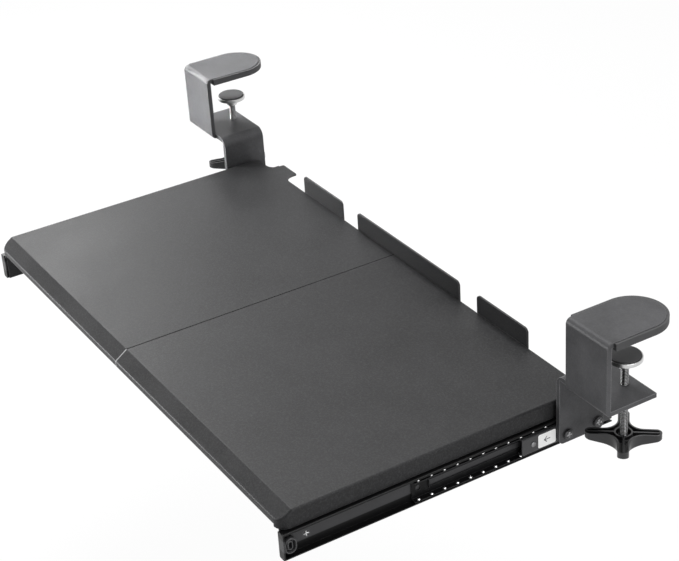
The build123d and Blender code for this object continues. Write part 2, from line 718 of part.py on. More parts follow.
    # Small rivet near the inner rail's front end
    with BuildPart() as rail_rivet:
        with BuildSketch(Plane.YZ.offset(bracket_inner_x)):
            with Locations((rivet_y, slide_z)):
                Circle(rivet_head / 2)
        extrude(amount=rivet_head_rise)
        fillet(rail_rivet.faces().sort_by(Axis.X)[-1].edges(), rivet_head_rise / 2)
        with BuildSketch(Plane.YZ.offset(bracket_inner_x)):
            with Locations((rivet_y, slide_z)):
                Circle(rivet_diameter / 2)
        extrude(amount=-inner_sheet - rivet_head_rise)
        if side == "left":
            mirror(about=Plane.YZ, mode=Mode.REPLACE)
    rail_rivet.part.label = side + "_rail_rivet"
    export_step(rail_rivet.part, f"parts/{side}_rail_rivet.step")

    # Paper marker on the inner rail, just in front of the bracket
    with BuildPart() as marker:
        with BuildSketch(Plane.YZ.offset(bracket_inner_x)):
            with Locations((marker_y, slide_z)):
                RectangleRounded(marker_width, marker_height, marker_corner)
        extrude(amount=marker_thickness)
        if side == "left":
            mirror(about=Plane.YZ, mode=Mode.REPLACE)
    marker.part.label = side + "_marker_label"
    export_step(marker.part, f"parts/{side}_marker_label.step")

    # Tray half: a flat sheet with a bevelled front, a short lip and a side wall, and studs below
    half_sign = 1 if side == "right" else -1
    half_inner_x = seam_x * half_sign + seam_gap / 2
    half_width = tray_width / 2 - half_inner_x
    with BuildPart() as tray_half:
        with BuildSketch(Plane.XY.offset(tray_top_z)) as plan:
            with Locations((half_inner_x, tray_rear_y)):
                Rectangle(half_width, tray_rear_y - lip_y, align=(Align.MIN, Align.MAX))
            front_corner = plan.vertices().group_by(Axis.X)[-1].sort_by(Axis.Y)[0]
            fillet(front_corner, corner_radius)
        extrude(amount=-wall_height)
        with BuildSketch(Plane.YZ.offset(half_inner_x - overrun)):
            with BuildLine():
                Polyline(
                    (crease_y, tray_top_z),
                    (crease_y, tray_top_z + overrun),
                    (lip_y - bevel_depth, tray_top_z + overrun),
                    (lip_y - bevel_depth, tray_top_z - bevel_height * 2),
                    close=True,
                )
            make_face()
        extrude(amount=half_width + overrun * 2, mode=Mode.SUBTRACT)
        bends = tray_half.edges().filter_by(
            lambda edge: edge.center().X > half_inner_x + overrun
            and edge.center().Y < tray_rear_y - overrun
            and edge.center().Z > lip_top_z - thread_fit
        )
        fillet(bends, tray_bend)
        open_faces = [
            tray_half.faces().sort_by(Axis.Z)[0],
            tray_half.faces().sort_by(Axis.X)[0],
            tray_half.faces().sort_by(Axis.Y)[-1],
        ]
        offset(amount=-tray_sheet, openings=open_faces)
        with BuildSketch(Plane.XY.offset(lip_bottom_z)):
            with Locations((half_inner_x - overrun, lip_y - overrun)):
                Rectangle(
                    half_width + overrun - corner_radius,
                    corner_radius + overrun,
                    align=(Align.MIN, Align.MIN),
                )
        extrude(amount=-wall_height, mode=Mode.SUBTRACT)
        with BuildSketch(Plane.XZ.offset(-tray_rear_y)) as tab:
            with Locations((tray_width * short_tab_place_shares[side] * half_sign, tray_under_z)):
                Rectangle(
                    short_tab_width, tab_height + tray_sheet, align=(Align.CENTER, Align.MIN)
                )
            fillet(tab.vertices().group_by(Axis.Y)[-1], tab_corner)
        extrude(amount=-tray_sheet)
        if side == "left":
            with BuildSketch(Plane.XY.offset(tray_top_z)) as hook:
                with Locations((-hook_x, tray_rear_y)):
                    Rectangle(hook_width, hook_length * 2)
                    Rectangle(
                        hook_width + hook_root_radius * 2,
                        hook_length,
                        align=(Align.CENTER, Align.MAX),
                    )
                hook_tips = hook.vertices().group_by(Axis.Y)[-1]
                fillet(hook_tips, hook_corner)
                hook_roots = hook.vertices().filter_by(
                    lambda corner: abs(corner.Y - tray_rear_y) < thread_fit
                    and abs(abs(corner.X + hook_x) - hook_width / 2) < thread_fit
                )
                fillet(hook_roots, hook_root_radius)
            extrude(amount=-tray_sheet)
        stud_places = [(stud_x, y) for y in hanger_stud_ys]
        plate_studs = [(x, rear_stud_y) for x in rear_stud_xs]
        plate_studs += [(x, front_stud_y) for x in front_stud_xs]
        for x, y in plate_studs:
            if (x - seam_x) * half_sign > 0:
                stud_places.append((x * half_sign, y))
        with BuildSketch(Plane.XY.offset(tray_under_z)):
            with Locations(*stud_places):
                Circle(stud_diameter / 2)
        extrude(amount=-stud_length)
        if side == "left":
            mirror(about=Plane.YZ, mode=Mode.REPLACE)
    tray_half.part.label = side + "_tray_half"
    export_step(tray_half.part, f"parts/{side}_tray_half.step")


# Rear joining bracket: a plate under both halves whose rear edge stands up as the middle tab
with BuildPart() as rear_bracket:
    with BuildSketch(Plane.XY.offset(tray_under_z)) as plate:
        with Locations((centre_tab_x, tray_rear_y + plate_sheet)):
            Rectangle(
                centre_tab_width,
                rear_plate_depth + plate_sheet,
                align=(Align.CENTER, Align.MAX),
            )
        fillet(plate.vertices().group_by(Axis.Y)[0], plate_corner)
        with Locations(*[(x, rear_stud_y) for x in rear_stud_xs]):
            Circle(stud_diameter / 2 + hole_fit, mode=Mode.SUBTRACT)
    extrude(amount=-plate_sheet)
    with BuildSketch(Plane.XZ.offset(-tray_rear_y)) as tab:
        with Locations((centre_tab_x, tray_under_z - plate_sheet)):
            Rectangle(
                centre_tab_width,
                tab_height + tray_sheet + plate_sheet,
                align=(Align.CENTER, Align.MIN),
            )
        fillet(tab.vertices().group_by(Axis.Y)[-1], tab_corner)
    extrude(amount=-plate_sheet)
rear_bracket.part.label = "rear_joining_bracket"
export_step(rear_bracket.part, "parts/rear_joining_bracket.step")

# Front joining plate, flat under both halves
with BuildPart() as front_plate:
    with BuildSketch(Plane.XY.offset(tray_under_z)):
        with Locations((seam_x, front_stud_y)):
            RectangleRounded(front_plate_width, front_plate_depth, plate_corner)
        with Locations(*[(x, front_stud_y) for x in front_stud_xs]):
            Circle(stud_diameter / 2 + hole_fit, mode=Mode.SUBTRACT)
    extrude(amount=-plate_sheet)
front_plate.part.label = "front_joining_plate"
export_step(front_plate.part, "parts/front_joining_plate.step")

# Nuts that hold both plates
with BuildPart() as rear_nuts:
    with BuildSketch(Plane.XY.offset(tray_under_z - plate_sheet)):
        with Locations(*[(x, rear_stud_y) for x in rear_stud_xs]):
            RegularPolygon(small_nut_width / 2, 6, major_radius=False)
            Circle(stud_diameter / 2 + thread_fit, mode=Mode.SUBTRACT)
    extrude(amount=-small_nut_height)
rear_nuts.part.label = "rear_joining_nuts"
export_step(rear_nuts.part, "parts/rear_joining_nuts.step")

with BuildPart() as front_nuts:
    with BuildSketch(Plane.XY.offset(tray_under_z - plate_sheet)):
        with Locations(*[(x, front_stud_y) for x in front_stud_xs]):
            RegularPolygon(small_nut_width / 2, 6, major_radius=False)
            Circle(stud_diameter / 2 + thread_fit, mode=Mode.SUBTRACT)
    extrude(amount=-small_nut_height)
front_nuts.part.label = "front_joining_nuts"
export_step(front_nuts.part, "parts/front_joining_nuts.step")
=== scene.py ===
import json
import math

import bmesh
import bpy
from mathutils import Matrix, Vector


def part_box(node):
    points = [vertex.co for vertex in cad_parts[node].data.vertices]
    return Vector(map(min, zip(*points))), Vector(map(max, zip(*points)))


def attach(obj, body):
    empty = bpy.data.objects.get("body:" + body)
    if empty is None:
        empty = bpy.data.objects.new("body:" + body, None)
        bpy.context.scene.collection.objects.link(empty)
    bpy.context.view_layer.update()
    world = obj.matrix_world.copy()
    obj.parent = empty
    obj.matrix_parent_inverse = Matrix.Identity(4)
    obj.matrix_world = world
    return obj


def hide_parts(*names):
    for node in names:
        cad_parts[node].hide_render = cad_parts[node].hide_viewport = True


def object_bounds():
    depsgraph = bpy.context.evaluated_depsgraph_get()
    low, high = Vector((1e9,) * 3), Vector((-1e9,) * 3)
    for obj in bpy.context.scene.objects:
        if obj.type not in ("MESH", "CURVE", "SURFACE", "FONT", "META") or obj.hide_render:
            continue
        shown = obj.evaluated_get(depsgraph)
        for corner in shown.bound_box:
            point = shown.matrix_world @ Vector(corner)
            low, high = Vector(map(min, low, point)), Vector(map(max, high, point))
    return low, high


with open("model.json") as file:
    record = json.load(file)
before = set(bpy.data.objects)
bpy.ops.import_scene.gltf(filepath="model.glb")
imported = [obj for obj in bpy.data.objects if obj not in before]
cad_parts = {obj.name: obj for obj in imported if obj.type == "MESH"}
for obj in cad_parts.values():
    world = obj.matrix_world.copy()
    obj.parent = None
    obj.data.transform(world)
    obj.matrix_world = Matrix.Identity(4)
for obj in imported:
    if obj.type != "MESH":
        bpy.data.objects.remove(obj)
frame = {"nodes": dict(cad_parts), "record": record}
nodes = frame["nodes"]
cad_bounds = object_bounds()
sides = {"left": -1, "right": 1}


# Tray halves: two pans of 1.5 mm sheet steel that meet at a seam, each bent into a bevelled front,
# a short lip and a side wall, with an upturned tab behind. They are sprayed with a fine matte
# black powder that is baked on, so edges are slightly rounded and catch a thin light line; the
# coat also paints paler edges as highlight. Along the seam a painted shadow line runs on the top
# and a painted glint line on the bevel.
class Socket:
    """One output of a shader node, with Python arithmetic and a way to add the next node."""

    def __init__(self, tree, output=None):
        self.tree = tree
        self.output = output

    def node(self, kind, settings=None, inputs=None, output=0):
        made = self.tree.nodes.new(kind)
        for name, value in (settings or {}).items():
            setattr(made, name, value)
        for name, value in (inputs or {}).items():
            if isinstance(value, Socket):
                self.tree.links.new(value.output, made.inputs[name])
            else:
                made.inputs[name].default_value = value
        return Socket(self.tree, made.outputs[output] if made.outputs else None)

    def math(self, operation, first, second=0.0):
        settings = {"operation": operation}
        return self.node("ShaderNodeMath", settings, {0: first, 1: second})

    def __add__(self, other):
        return self.math("ADD", self, other)

    def __sub__(self, other):
        return self.math("SUBTRACT", self, other)

    def __rsub__(self, other):
        return self.math("SUBTRACT", other, self)

    def __mul__(self, other):
        return self.math("MULTIPLY", self, other)

    def __pow__(self, other):
        return self.math("POWER", self, other)

    __radd__ = __add__
    __rmul__ = __mul__

    def clamp(self):
        settings = {"operation": "ADD", "use_clamp": True}
        return self.node("ShaderNodeMath", settings, {0: self, 1: 0.0})


def blank_finish(name):
    material = bpy.data.materials.new(name)
    material.use_nodes = True
    material.node_tree.nodes.clear()
    return material, Socket(material.node_tree)


def noise(start, size, detail=2.0, roughness=0.5):
    place = start.node("ShaderNodeTexCoord", output="Object")
    inputs = {"Vector": place, "Scale": 1 / size, "Detail": detail, "Roughness": roughness}
    return start.node("ShaderNodeTexNoise", inputs=inputs)


shader_samples = 6
edge_gain = 4.0
shade_falloff = 1.5
# near black used to paint shade into grooves, joins and the tray's seam
painted_shade_black = (0.002, 0.002, 0.002, 1)


def edge_mask(start, radius):
    # 0 on flat faces, towards 1 on outer and inner edges; the paler colour laid on by it is partly
    # wear and partly painted edge highlight
    rounded = start.node("ShaderNodeBevel", {"samples": shader_samples}, {"Radius": radius})
    flat = start.node("ShaderNodeNewGeometry", output="Normal")
    inputs = {0: rounded, 1: flat}
    same = start.node("ShaderNodeVectorMath", {"operation": "DOT_PRODUCT"}, inputs, "Value")
    return ((1 - same) * edge_gain).clamp()


def unshaded_share(start, reach):
    # 1 on free faces, towards 0 down in grooves and where two pieces meet; used as the share of
    # painted shade
    settings = {"samples": shader_samples}
    free = start.node("ShaderNodeAmbientOcclusion", settings, {"Distance": reach}, "AO")
    return free ** shade_falloff


def mixed(start, share, first, second):
    return start.node("ShaderNodeMix", {"data_type": "RGBA"}, {0: share, 6: first, 7: second}, 2)


def surface(start, colour, roughness, height, depth, painted_shade=None, **fixed):
    relief = {"Strength": 1.0, "Distance": depth, "Height": height}
    bump = start.node("ShaderNodeBump", inputs=relief)
    inputs = {"Base Color": colour, "Roughness": roughness, "Normal": bump}
    inputs.update({name.replace("_", " "): value for name, value in fixed.items()})
    shader = start.node("ShaderNodeBsdfPrincipled", inputs=inputs)
    # painted shade: where that share is set, an unlit near-black surface takes over
    if painted_shade:
        unlit = start.node("ShaderNodeBsdfDiffuse", inputs={"Color": painted_shade_black})
        shader = start.node("ShaderNodeMixShader", inputs={0: painted_shade, 1: shader, 2: unlit})
    start.node("ShaderNodeOutputMaterial", inputs={"Surface": shader})


painted_seam_glint = (0.36, 0.36, 0.365, 1)
seam_sharpness = 4000.0
cloud_contrast = 1.7
speck_floor = 0.44
speck_gain = 4.0
wear_and_highlight_gain = 2.5
wear_and_highlight_share = 0.55


def powder_coat(name, dark, light, worn_and_highlight, grit, seam=None):
    material, start = blank_finish(name)
    blotch = noise(start, size=0.06, detail=8.0, roughness=0.68)
    cloud = ((blotch - 0.5) * cloud_contrast + 0.5).clamp()
    grain = noise(start, size=0.00055, detail=3.0, roughness=0.6)
    free = unshaded_share(start, reach=0.0022)
    fleck = noise(start, size=0.0015, detail=3.0, roughness=0.75)
    speck = (fleck - speck_floor) * speck_gain
    body = mixed(start, cloud, dark, light)
    speckled = mixed(start, (speck * grit).clamp(), body, worn_and_highlight)
    # paler edges: partly coat rubbed thin, partly a painted highlight line
    wear_and_highlight = (edge_mask(start, radius=0.0008) * wear_and_highlight_gain).clamp() * wear_and_highlight_share
    rubbed_and_highlit = mixed(start, wear_and_highlight, speckled, worn_and_highlight)
    # painted shade: the coat turns near black in grooves and where pieces meet
    edged = mixed(start, free, painted_shade_black, rubbed_and_highlit)
    painted_seam_shadow = None
    # painted light along the seam: a pale glint line on the bevel and an unlit black shadow line on
    # the top
    if seam:
        middle_x, crease_y, reach = seam
        place = start.node("ShaderNodeTexCoord", output="Object")
        across = start.node("ShaderNodeSeparateXYZ", inputs={"Vector": place}, output="X")
        off = start.math("ABSOLUTE", across - middle_x)
        along = start.node("ShaderNodeSeparateXYZ", inputs={"Vector": place}, output="Y")
        sloped = ((crease_y - along) * seam_sharpness).clamp()
        line = ((reach - off) * seam_sharpness).clamp()
        painted_seam_shadow = line * (1 - sloped)
        edged = mixed(start, line, edged, painted_seam_glint)
    rough = cloud * 0.12 + fleck * (grit + 0.05) + 0.3
    surface(start, edged, rough, grain, depth=0.00007, painted_shade=painted_seam_shadow, Specular_IOR_Level=0.14)
    return material


coat_dark = (0.011, 0.011, 0.0115, 1)
coat_light = (0.024, 0.024, 0.025, 1)
coat_worn_and_highlight = (0.2, 0.2, 0.205, 1)
coat_grit = 0.09
coated_steel = powder_coat("powder_coated_steel", coat_dark, coat_light, coat_worn_and_highlight, coat_grit)
left_half_low, left_half_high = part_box("left_tray_half")
seam_x = (left_half_high.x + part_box("right_tray_half")[0].x) / 2
bevel_depth = 0.011
seam_reach = 0.0007
seam = (seam_x, left_half_low.y + bevel_depth, seam_reach)
seamed_steel = powder_coat(
    "powder_coated_tray", coat_dark, coat_light, coat_worn_and_highlight, coat_grit, seam
)
weld_distance = 2e-6
flat_angle = math.radians(0.6)
rounded_angle = math.radians(38)
sharp_angle = math.radians(50)


def softened(node, material, radius, segments=2):
    """A copy of a solid whose sharp edges are rounded, as bent, sprayed or moulded ones are."""
    piece = bpy.data.objects.new(node + "_finished", nodes[node].data.copy())
    bpy.context.scene.collection.objects.link(piece)
    shape = bmesh.new()
    shape.from_mesh(piece.data)
    bmesh.ops.remove_doubles(shape, verts=shape.verts, dist=weld_distance)
    bmesh.ops.dissolve_limit(
        shape, angle_limit=flat_angle, verts=shape.verts, edges=shape.edges
    )
    shape.to_mesh(piece.data)
    shape.free()
    piece.data.shade_smooth()
    rounding = piece.modifiers.new("rounded_edges", "BEVEL")
    rounding.width = radius
    rounding.segments = segments
    rounding.limit_method = "ANGLE"
    rounding.angle_limit = rounded_angle
    rounding.miter_outer = "MITER_ARC"
    rounding.use_clamp_overlap = True
    even = piece.modifiers.new("even_shading", "WEIGHTED_NORMAL")
    even.keep_sharp = True
    piece.data.set_sharp_from_angle(angle=sharp_angle)
    piece.data.materials.clear()
    piece.data.materials.append(material)
    bodies = frame["record"]["behaviour"]["bodies"]
    body = next(name for name, members in bodies.items() if node in members)
    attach(piece, body)
    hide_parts(node)
    return piece


# The edges of the two halves are brought together on the seam's middle line.
tray_edge = 0.0004
seam_gap = 0.0006
for side in sides:
    half = softened(side + "_tray_half", seamed_steel, tray_edge, 3)
    for vert in half.data.vertices:
        if abs(vert.co.x - seam_x) < seam_gap:
            vert.co.x = seam_x


# Joining pieces: a bracket under the seam whose rear edge stands up as the middle tab, a flat plate
# further forward, and zinc-plated nuts on the studs that are welded under the tray.
stain_contrast = 1.4
stain_floor = 0.3


def zinc_plate(name, colour, dull):
    material, start = blank_finish(name)
    stain = noise(start, size=0.006, detail=3.0)
    scratch = noise(start, size=0.0004, detail=4.0, roughness=0.7)
    plated = mixed(start, (stain * stain_contrast - stain_floor).clamp(), dull, colour)
    rough = stain * 0.12 + scratch * 0.12 + 0.2
    surface(start, plated, rough, scratch, depth=0.00002, Metallic=1.0)
    return material


bright_zinc = zinc_plate("bright_zinc", (0.72, 0.72, 0.73, 1), (0.5, 0.5, 0.49, 1))
nut_edge = 0.0003
softened("rear_joining_bracket", coated_steel, tray_edge, 3)
softened("front_joining_plate", coated_steel, tray_edge)
for name in ("rear_joining_nuts", "front_joining_nuts"):
    softened(name, bright_zinc, nut_edge)


# Rail angles: coated steel angles that hang the slides under the tray's sides, held by nuts on
# welded studs above and by the slides' own screws and nuts at the side.
for side in sides:
    softened(side + "_rail_angle", coated_steel, tray_edge)
    softened(side + "_angle_nuts", bright_zinc, nut_edge)
    softened(side + "_rail_nuts", bright_zinc, nut_edge)


# Outer rails: roll-formed steel channels with a satin black electrocoat, thinner and glossier than
# the powder on the tray. The web shows as a lighter strip between the two ball tracks, which are
# painted near black as the shade inside them.
streak_scale = (900.0, 25.0, 900.0)
track_sharpness = 1200.0
track_shade_black = (0.002, 0.002, 0.0022, 1)


def electrocoat(name, dark, light, worn_and_highlight, shine, web=None):
    material, start = blank_finish(name)
    place = start.node("ShaderNodeTexCoord", output="Object")
    stretched = start.node("ShaderNodeMapping", inputs={"Vector": place, "Scale": streak_scale})
    lengthways = {"Vector": stretched, "Scale": 1.0, "Detail": 2.0}
    streak = start.node("ShaderNodeTexNoise", inputs=lengthways)
    cloud = noise(start, size=0.03, detail=3.0)
    body = mixed(start, cloud, dark, light)
    # paler edges: partly wear, partly painted edge highlight
    edged = mixed(start, edge_mask(start, radius=0.0005) * 0.5, body, worn_and_highlight)
    # painted shade: outside the web's band the rail is coloured near black
    if web:
        middle, half = web
        height = start.node("ShaderNodeSeparateXYZ", inputs={"Vector": place}, output="Z")
        off = start.math("ABSOLUTE", height - middle)
        edged = mixed(start, ((off - half) * track_sharpness).clamp(), edged, track_shade_black)
    rough = streak * 0.12 + cloud * 0.08 + 0.3
    surface(start, edged, rough, streak, depth=0.00002, Specular_IOR_Level=shine)
    return material


rail_dark = (0.034, 0.034, 0.0355, 1)
rail_light = (0.056, 0.056, 0.0585, 1)
rail_worn_and_highlight = (0.12, 0.12, 0.125, 1)
rail_low, rail_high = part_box("right_outer_rail")
web_rise = 0.001
web_half = 0.0045
web_band = ((rail_low.z + rail_high.z) / 2 + web_rise, web_half)
rail_edge = 0.00025
rail_coat = electrocoat("rail_electrocoat", rail_dark, rail_light, rail_worn_and_highlight, 0.2, web_band)
for side in sides:
    softened(side + "_outer_rail", rail_coat, rail_edge)


# Front stops and rail screws: each rail carries an oval bumper of moulded plastic behind its front
# wall, and flat-headed black screws whose cross recesses are polished bright by the driver.
def moulded_plastic(name, dark, light, worn_and_highlight, gloss):
    material, start = blank_finish(name)
    cloud = noise(start, size=0.012, detail=3.0)
    grain = noise(start, size=0.0007)
    body = mixed(start, cloud, dark, light)
    # paler edges: partly wear, partly painted edge highlight
    edged = mixed(start, edge_mask(start, radius=0.0006) * 0.4, body, worn_and_highlight)
    rough = cloud * 0.1 + grain * 0.1 + gloss
    surface(start, edged, rough, grain, depth=0.00004, Specular_IOR_Level=0.5)
    return material


stop_plastic = moulded_plastic(
    "stop_plastic", (0.02, 0.02, 0.021, 1), (0.04, 0.04, 0.042, 1), (0.2, 0.2, 0.2, 1), 0.35
)
# Each pair is the inset from the bumper's outline and the height as a share of its thickness.
stop_profile = (
    (0.0, 0.0), (0.0, 0.82), (0.00025, 0.95), (0.0006, 1.0), (0.0012, 1.0), (0.0015, 0.92),
    (0.0017, 0.5), (0.0026, 0.45), (0.0028, 0.8), (0.0034, 0.88), (0.0038, 0.86), (0.004, 0.3),
)
stop_steps = 48
stop_sharp_angle = math.radians(40)


def front_stop(side, hand):
    """An oval bumper with a raised rim, a sunk ring and a boss with a blind hole."""
    low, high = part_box(side + "_front_stop")
    middle = (low + high) / 2
    half_width = (high.y - low.y) / 2
    straight = (high.z - low.z) / 2 - half_width
    back = low.x if hand > 0 else high.x
    shape = bmesh.new()
    loops = []
    for inset, share in stop_profile:
        loop = []
        for step in range(stop_steps):
            angle = math.tau * (step + 0.5) / stop_steps
            y = middle.y + (half_width - inset) * math.cos(angle)
            rise = math.sin(angle)
            z = middle.z + (half_width - inset) * rise + math.copysign(straight, rise)
            loop.append(shape.verts.new((back + hand * share * (high.x - low.x), y, z)))
        loops.append(loop)
    for inner, outer in zip(loops, loops[1:]):
        for step in range(stop_steps):
            after = (step + 1) % stop_steps
            shape.faces.new((inner[step], inner[after], outer[after], outer[step]))
    shape.faces.new(loops[0])
    shape.faces.new(loops[-1])
    bmesh.ops.recalc_face_normals(shape, faces=shape.faces)
    mesh = bpy.data.meshes.new(side + "_front_bumper")
    shape.to_mesh(mesh)
    shape.free()
    mesh.shade_smooth()
    mesh.set_sharp_from_angle(angle=stop_sharp_angle)
    mesh.materials.append(stop_plastic)
    piece = bpy.data.objects.new(side + "_front_bumper", mesh)
    bpy.context.scene.collection.objects.link(piece)
    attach(piece, "platform")
    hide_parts(side + "_front_stop")


oxide_dark = (0.02, 0.02, 0.022, 1)
oxide_light = (0.06, 0.06, 0.062, 1)
bare_steel_and_highlight = (0.55, 0.55, 0.56, 1)


def blackened_screw(name, rub_and_highlight_gain):
    material, start = blank_finish(name)
    stain = noise(start, size=0.0012, detail=3.0)
    # paler rims: partly bare steel where the oxide is rubbed off, partly a painted highlight ring,
    # strong on the bracket screws
    rub_and_highlight = (edge_mask(start, radius=0.0006) * rub_and_highlight_gain).clamp()
    body = mixed(start, stain, oxide_dark, oxide_light)
    rubbed_and_highlit = mixed(start, rub_and_highlight, body, bare_steel_and_highlight)
    rough = stain * 0.2 + 0.25
    surface(start, rubbed_and_highlit, rough, stain, depth=0.00002, Metallic=0.6)
    return material


rail_screw_black = blackened_screw("blackened_rail_screw", rub_and_highlight_gain=0.1)
screw_black = blackened_screw("blackened_screw", rub_and_highlight_gain=1.6)
driven_metal = zinc_plate("driven_recess", (0.8, 0.8, 0.81, 1), (0.5, 0.5, 0.5, 1))
recess_reach = 0.0026
crown_skin = 0.0001
rail_recess_depth = 0.0007


def polish_recess(piece, hand, depth):
    """Gives the faces of a screw's cross recess the bare metal that a driver leaves."""
    piece.data.materials.append(driven_metal)
    corners = [vert.co for vert in piece.data.vertices]
    crown = max(co.x * hand for co in corners)
    axis = sum(corners, Vector()) / len(corners)
    for face in piece.data.polygons:
        off = face.center - axis
        below = crown - face.center.x * hand
        if crown_skin < below < depth and math.hypot(off.y, off.z) < recess_reach:
            face.material_index = 1


for side, hand in sides.items():
    front_stop(side, hand)
    for place in ("front", "middle", "rear"):
        screw = softened(f"{side}_rail_screw_{place}", rail_screw_black, 0.00005, segments=1)
        polish_recess(screw, hand, rail_recess_depth)


# Ball cages: thin coated strips folded into a channel, with a long window and two rows of holes,
# and the hardened polished balls that run in them.
def polished_ball(name):
    material, start = blank_finish(name)
    film = noise(start, size=0.001)
    steel = mixed(start, film, (0.78, 0.78, 0.79, 1), (0.9, 0.9, 0.9, 1))
    rough = film * 0.1 + 0.2
    surface(start, steel, rough, film, depth=0.000004, Metallic=1.0)
    return material


ball_steel = polished_ball("polished_ball")
ball_radius = 0.0014


def ball_row(node, radius):
    """Round balls in place of the solid ones, one for each loose part of that node."""
    rows = bmesh.new()
    rows.from_mesh(nodes[node].data)
    bmesh.ops.remove_doubles(rows, verts=rows.verts, dist=weld_distance)
    left = set(rows.verts)
    centres = []
    while left:
        reached = {left.pop()}
        rim = list(reached)
        while rim:
            vert = rim.pop()
            near = {link.other_vert(vert) for link in vert.link_edges} & left
            left -= near
            reached |= near
            rim += list(near)
        low = Vector(min(vert.co[i] for vert in reached) for i in range(3))
        high = Vector(max(vert.co[i] for vert in reached) for i in range(3))
        centres.append((low + high) / 2)
    rows.free()
    shape = bmesh.new()
    for centre in centres:
        bmesh.ops.create_icosphere(
            shape, subdivisions=3, radius=radius, matrix=Matrix.Translation(centre)
        )
    mesh = bpy.data.meshes.new(node + "_polished")
    shape.to_mesh(mesh)
    shape.free()
    mesh.shade_smooth()
    mesh.materials.append(ball_steel)
    piece = bpy.data.objects.new(node + "_polished", mesh)
    bpy.context.scene.collection.objects.link(piece)
    return piece


cage_dark = (0.003, 0.003, 0.0033, 1)
cage_light = (0.006, 0.006, 0.0065, 1)
cage_coat = electrocoat("cage_electrocoat", cage_dark, cage_light, rail_worn_and_highlight, 0.12)
for side in sides:
    softened(side + "_ball_cage", cage_coat, 0.00012, segments=1)
    balls = ball_row(side + "_balls", ball_radius)
    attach(balls, side + "_cage")
    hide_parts(side + "_balls")


# Inner rails: short channels bolted to the clamps' brackets, with a small rivet, and thin nuts
# inside that hold the bracket screws.
rivet_steel = zinc_plate("rivet_steel", (0.4, 0.4, 0.41, 1), (0.12, 0.12, 0.12, 1))
inner_coat = electrocoat("inner_electrocoat", rail_dark, rail_light, rail_worn_and_highlight, 0.3)
for side in sides:
    softened(side + "_inner_rail", inner_coat, rail_edge)
    softened(side + "_rail_rivet", rivet_steel, 0.00015)
    softened(side + "_bracket_nuts", bright_zinc, nut_edge)


# Markers: small white paper labels stuck on the inner rails, printed with a plain arrow that points
# to the front of the tray.
def label_paper(name, ground, shade):
    material, start = blank_finish(name)
    fibre = noise(start, size=0.0006, detail=4.0)
    paper = mixed(start, fibre, ground, shade)
    surface(start, paper, fibre * 0.15 + 0.5, fibre, depth=0.00002)
    return material


marker_paper = label_paper("marker_paper", (0.94, 0.94, 0.93, 1), (0.88, 0.88, 0.87, 1))
marker_ink = label_paper("marker_ink", (0.05, 0.05, 0.05, 1), (0.12, 0.12, 0.12, 1))
ink_stroke = 0.0007
ink_height = 0.00004
arrow_length = 0.0052
arrow_head = 0.0022
for side, hand in sides.items():
    softened(side + "_marker_label", marker_paper, 0.00005, segments=1)
    low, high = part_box(side + "_marker_label")
    middle = (low + high) / 2
    face_x = high.x if hand > 0 else low.x
    shape = bmesh.new()
    tip = Vector((0, -arrow_length / 2))
    strokes = [
        (Vector((0, arrow_length / 2)), tip),
        (Vector((-arrow_head, arrow_head - arrow_length / 2)), tip),
        (Vector((arrow_head, arrow_head - arrow_length / 2)), tip),
    ]
    for foot, end in strokes:
        along = (end - foot).normalized() * ink_stroke / 2
        across = Vector((-along.y, along.x))
        ring = [
            foot - along + across,
            foot - along - across,
            end + along - across,
            end + along + across,
        ]
        ink_x = face_x + hand * ink_height
        corners = [shape.verts.new((ink_x, middle.y + p.y, middle.z + p.x)) for p in ring]
        shape.faces.new(corners)
    bmesh.ops.recalc_face_normals(shape, faces=shape.faces)
    mesh = bpy.data.meshes.new(side + "_marker_arrow")
    shape.to_mesh(mesh)
    shape.free()
    mesh.materials.append(marker_ink)
    arrow = bpy.data.objects.new(side + "_marker_arrow", mesh)
    bpy.context.scene.collection.objects.link(arrow)
    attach(arrow, "clamps")


# Clamp frames: one strip of 4 mm steel each, cut with a rounded tongue and bent into tongue, front
# plate, jaw and hanging bracket, then powder coated like the tray. Their coat is a paler copy of
# the tray's: partly a greyer powder, partly painted light for shade that falls on the tray and not
# on them.
# painted light in part: these tones are paler than the tray's coat
clamp_dark = (0.032, 0.032, 0.0335, 1)
clamp_light = (0.096, 0.096, 0.1, 1)
clamp_worn_and_highlight = (0.3, 0.3, 0.305, 1)
clamp_grit = 0.06
bracket_recess_depth = 0.0015
clamp_steel = powder_coat("clamp_powder_coat", clamp_dark, clamp_light, clamp_worn_and_highlight, clamp_grit)
for side, hand in sides.items():
    softened(side + "_clamp_frame", clamp_steel, 0.0005, 3)
    for place in ("front", "rear"):
        screw = softened(f"{side}_bracket_screw_{place}", screw_black, 0.0002, 3)
        polish_recess(screw, hand, bracket_recess_depth)


# Pads: soft black rubber trays glued under the clamps' tongues, and rubber discs glued on the
# pressure feet, so that both grip without marking.
def soft_rubber(name, dark, light):
    material, start = blank_finish(name)
    cloud = noise(start, size=0.008, detail=4.0)
    grain = noise(start, size=0.0005, detail=3.0, roughness=0.7)
    dusty = mixed(start, (cloud * 0.7 + grain * 0.3).clamp(), dark, light)
    # painted shade: the rubber turns near black in grooves and where it meets the metal
    shaded = mixed(start, unshaded_share(start, reach=0.002), painted_shade_black, dusty)
    rough = grain * 0.2 + 0.55
    surface(start, shaded, rough, grain, depth=0.00005)
    return material


pad_rubber = soft_rubber("pad_rubber", (0.024, 0.024, 0.025, 1), (0.048, 0.048, 0.05, 1))
pad_edge = 0.0004
for side in sides:
    softened(side + "_tongue_pad", pad_rubber, pad_edge, 3)
    softened(side + "_foot_pad", pad_rubber, pad_edge, 3)


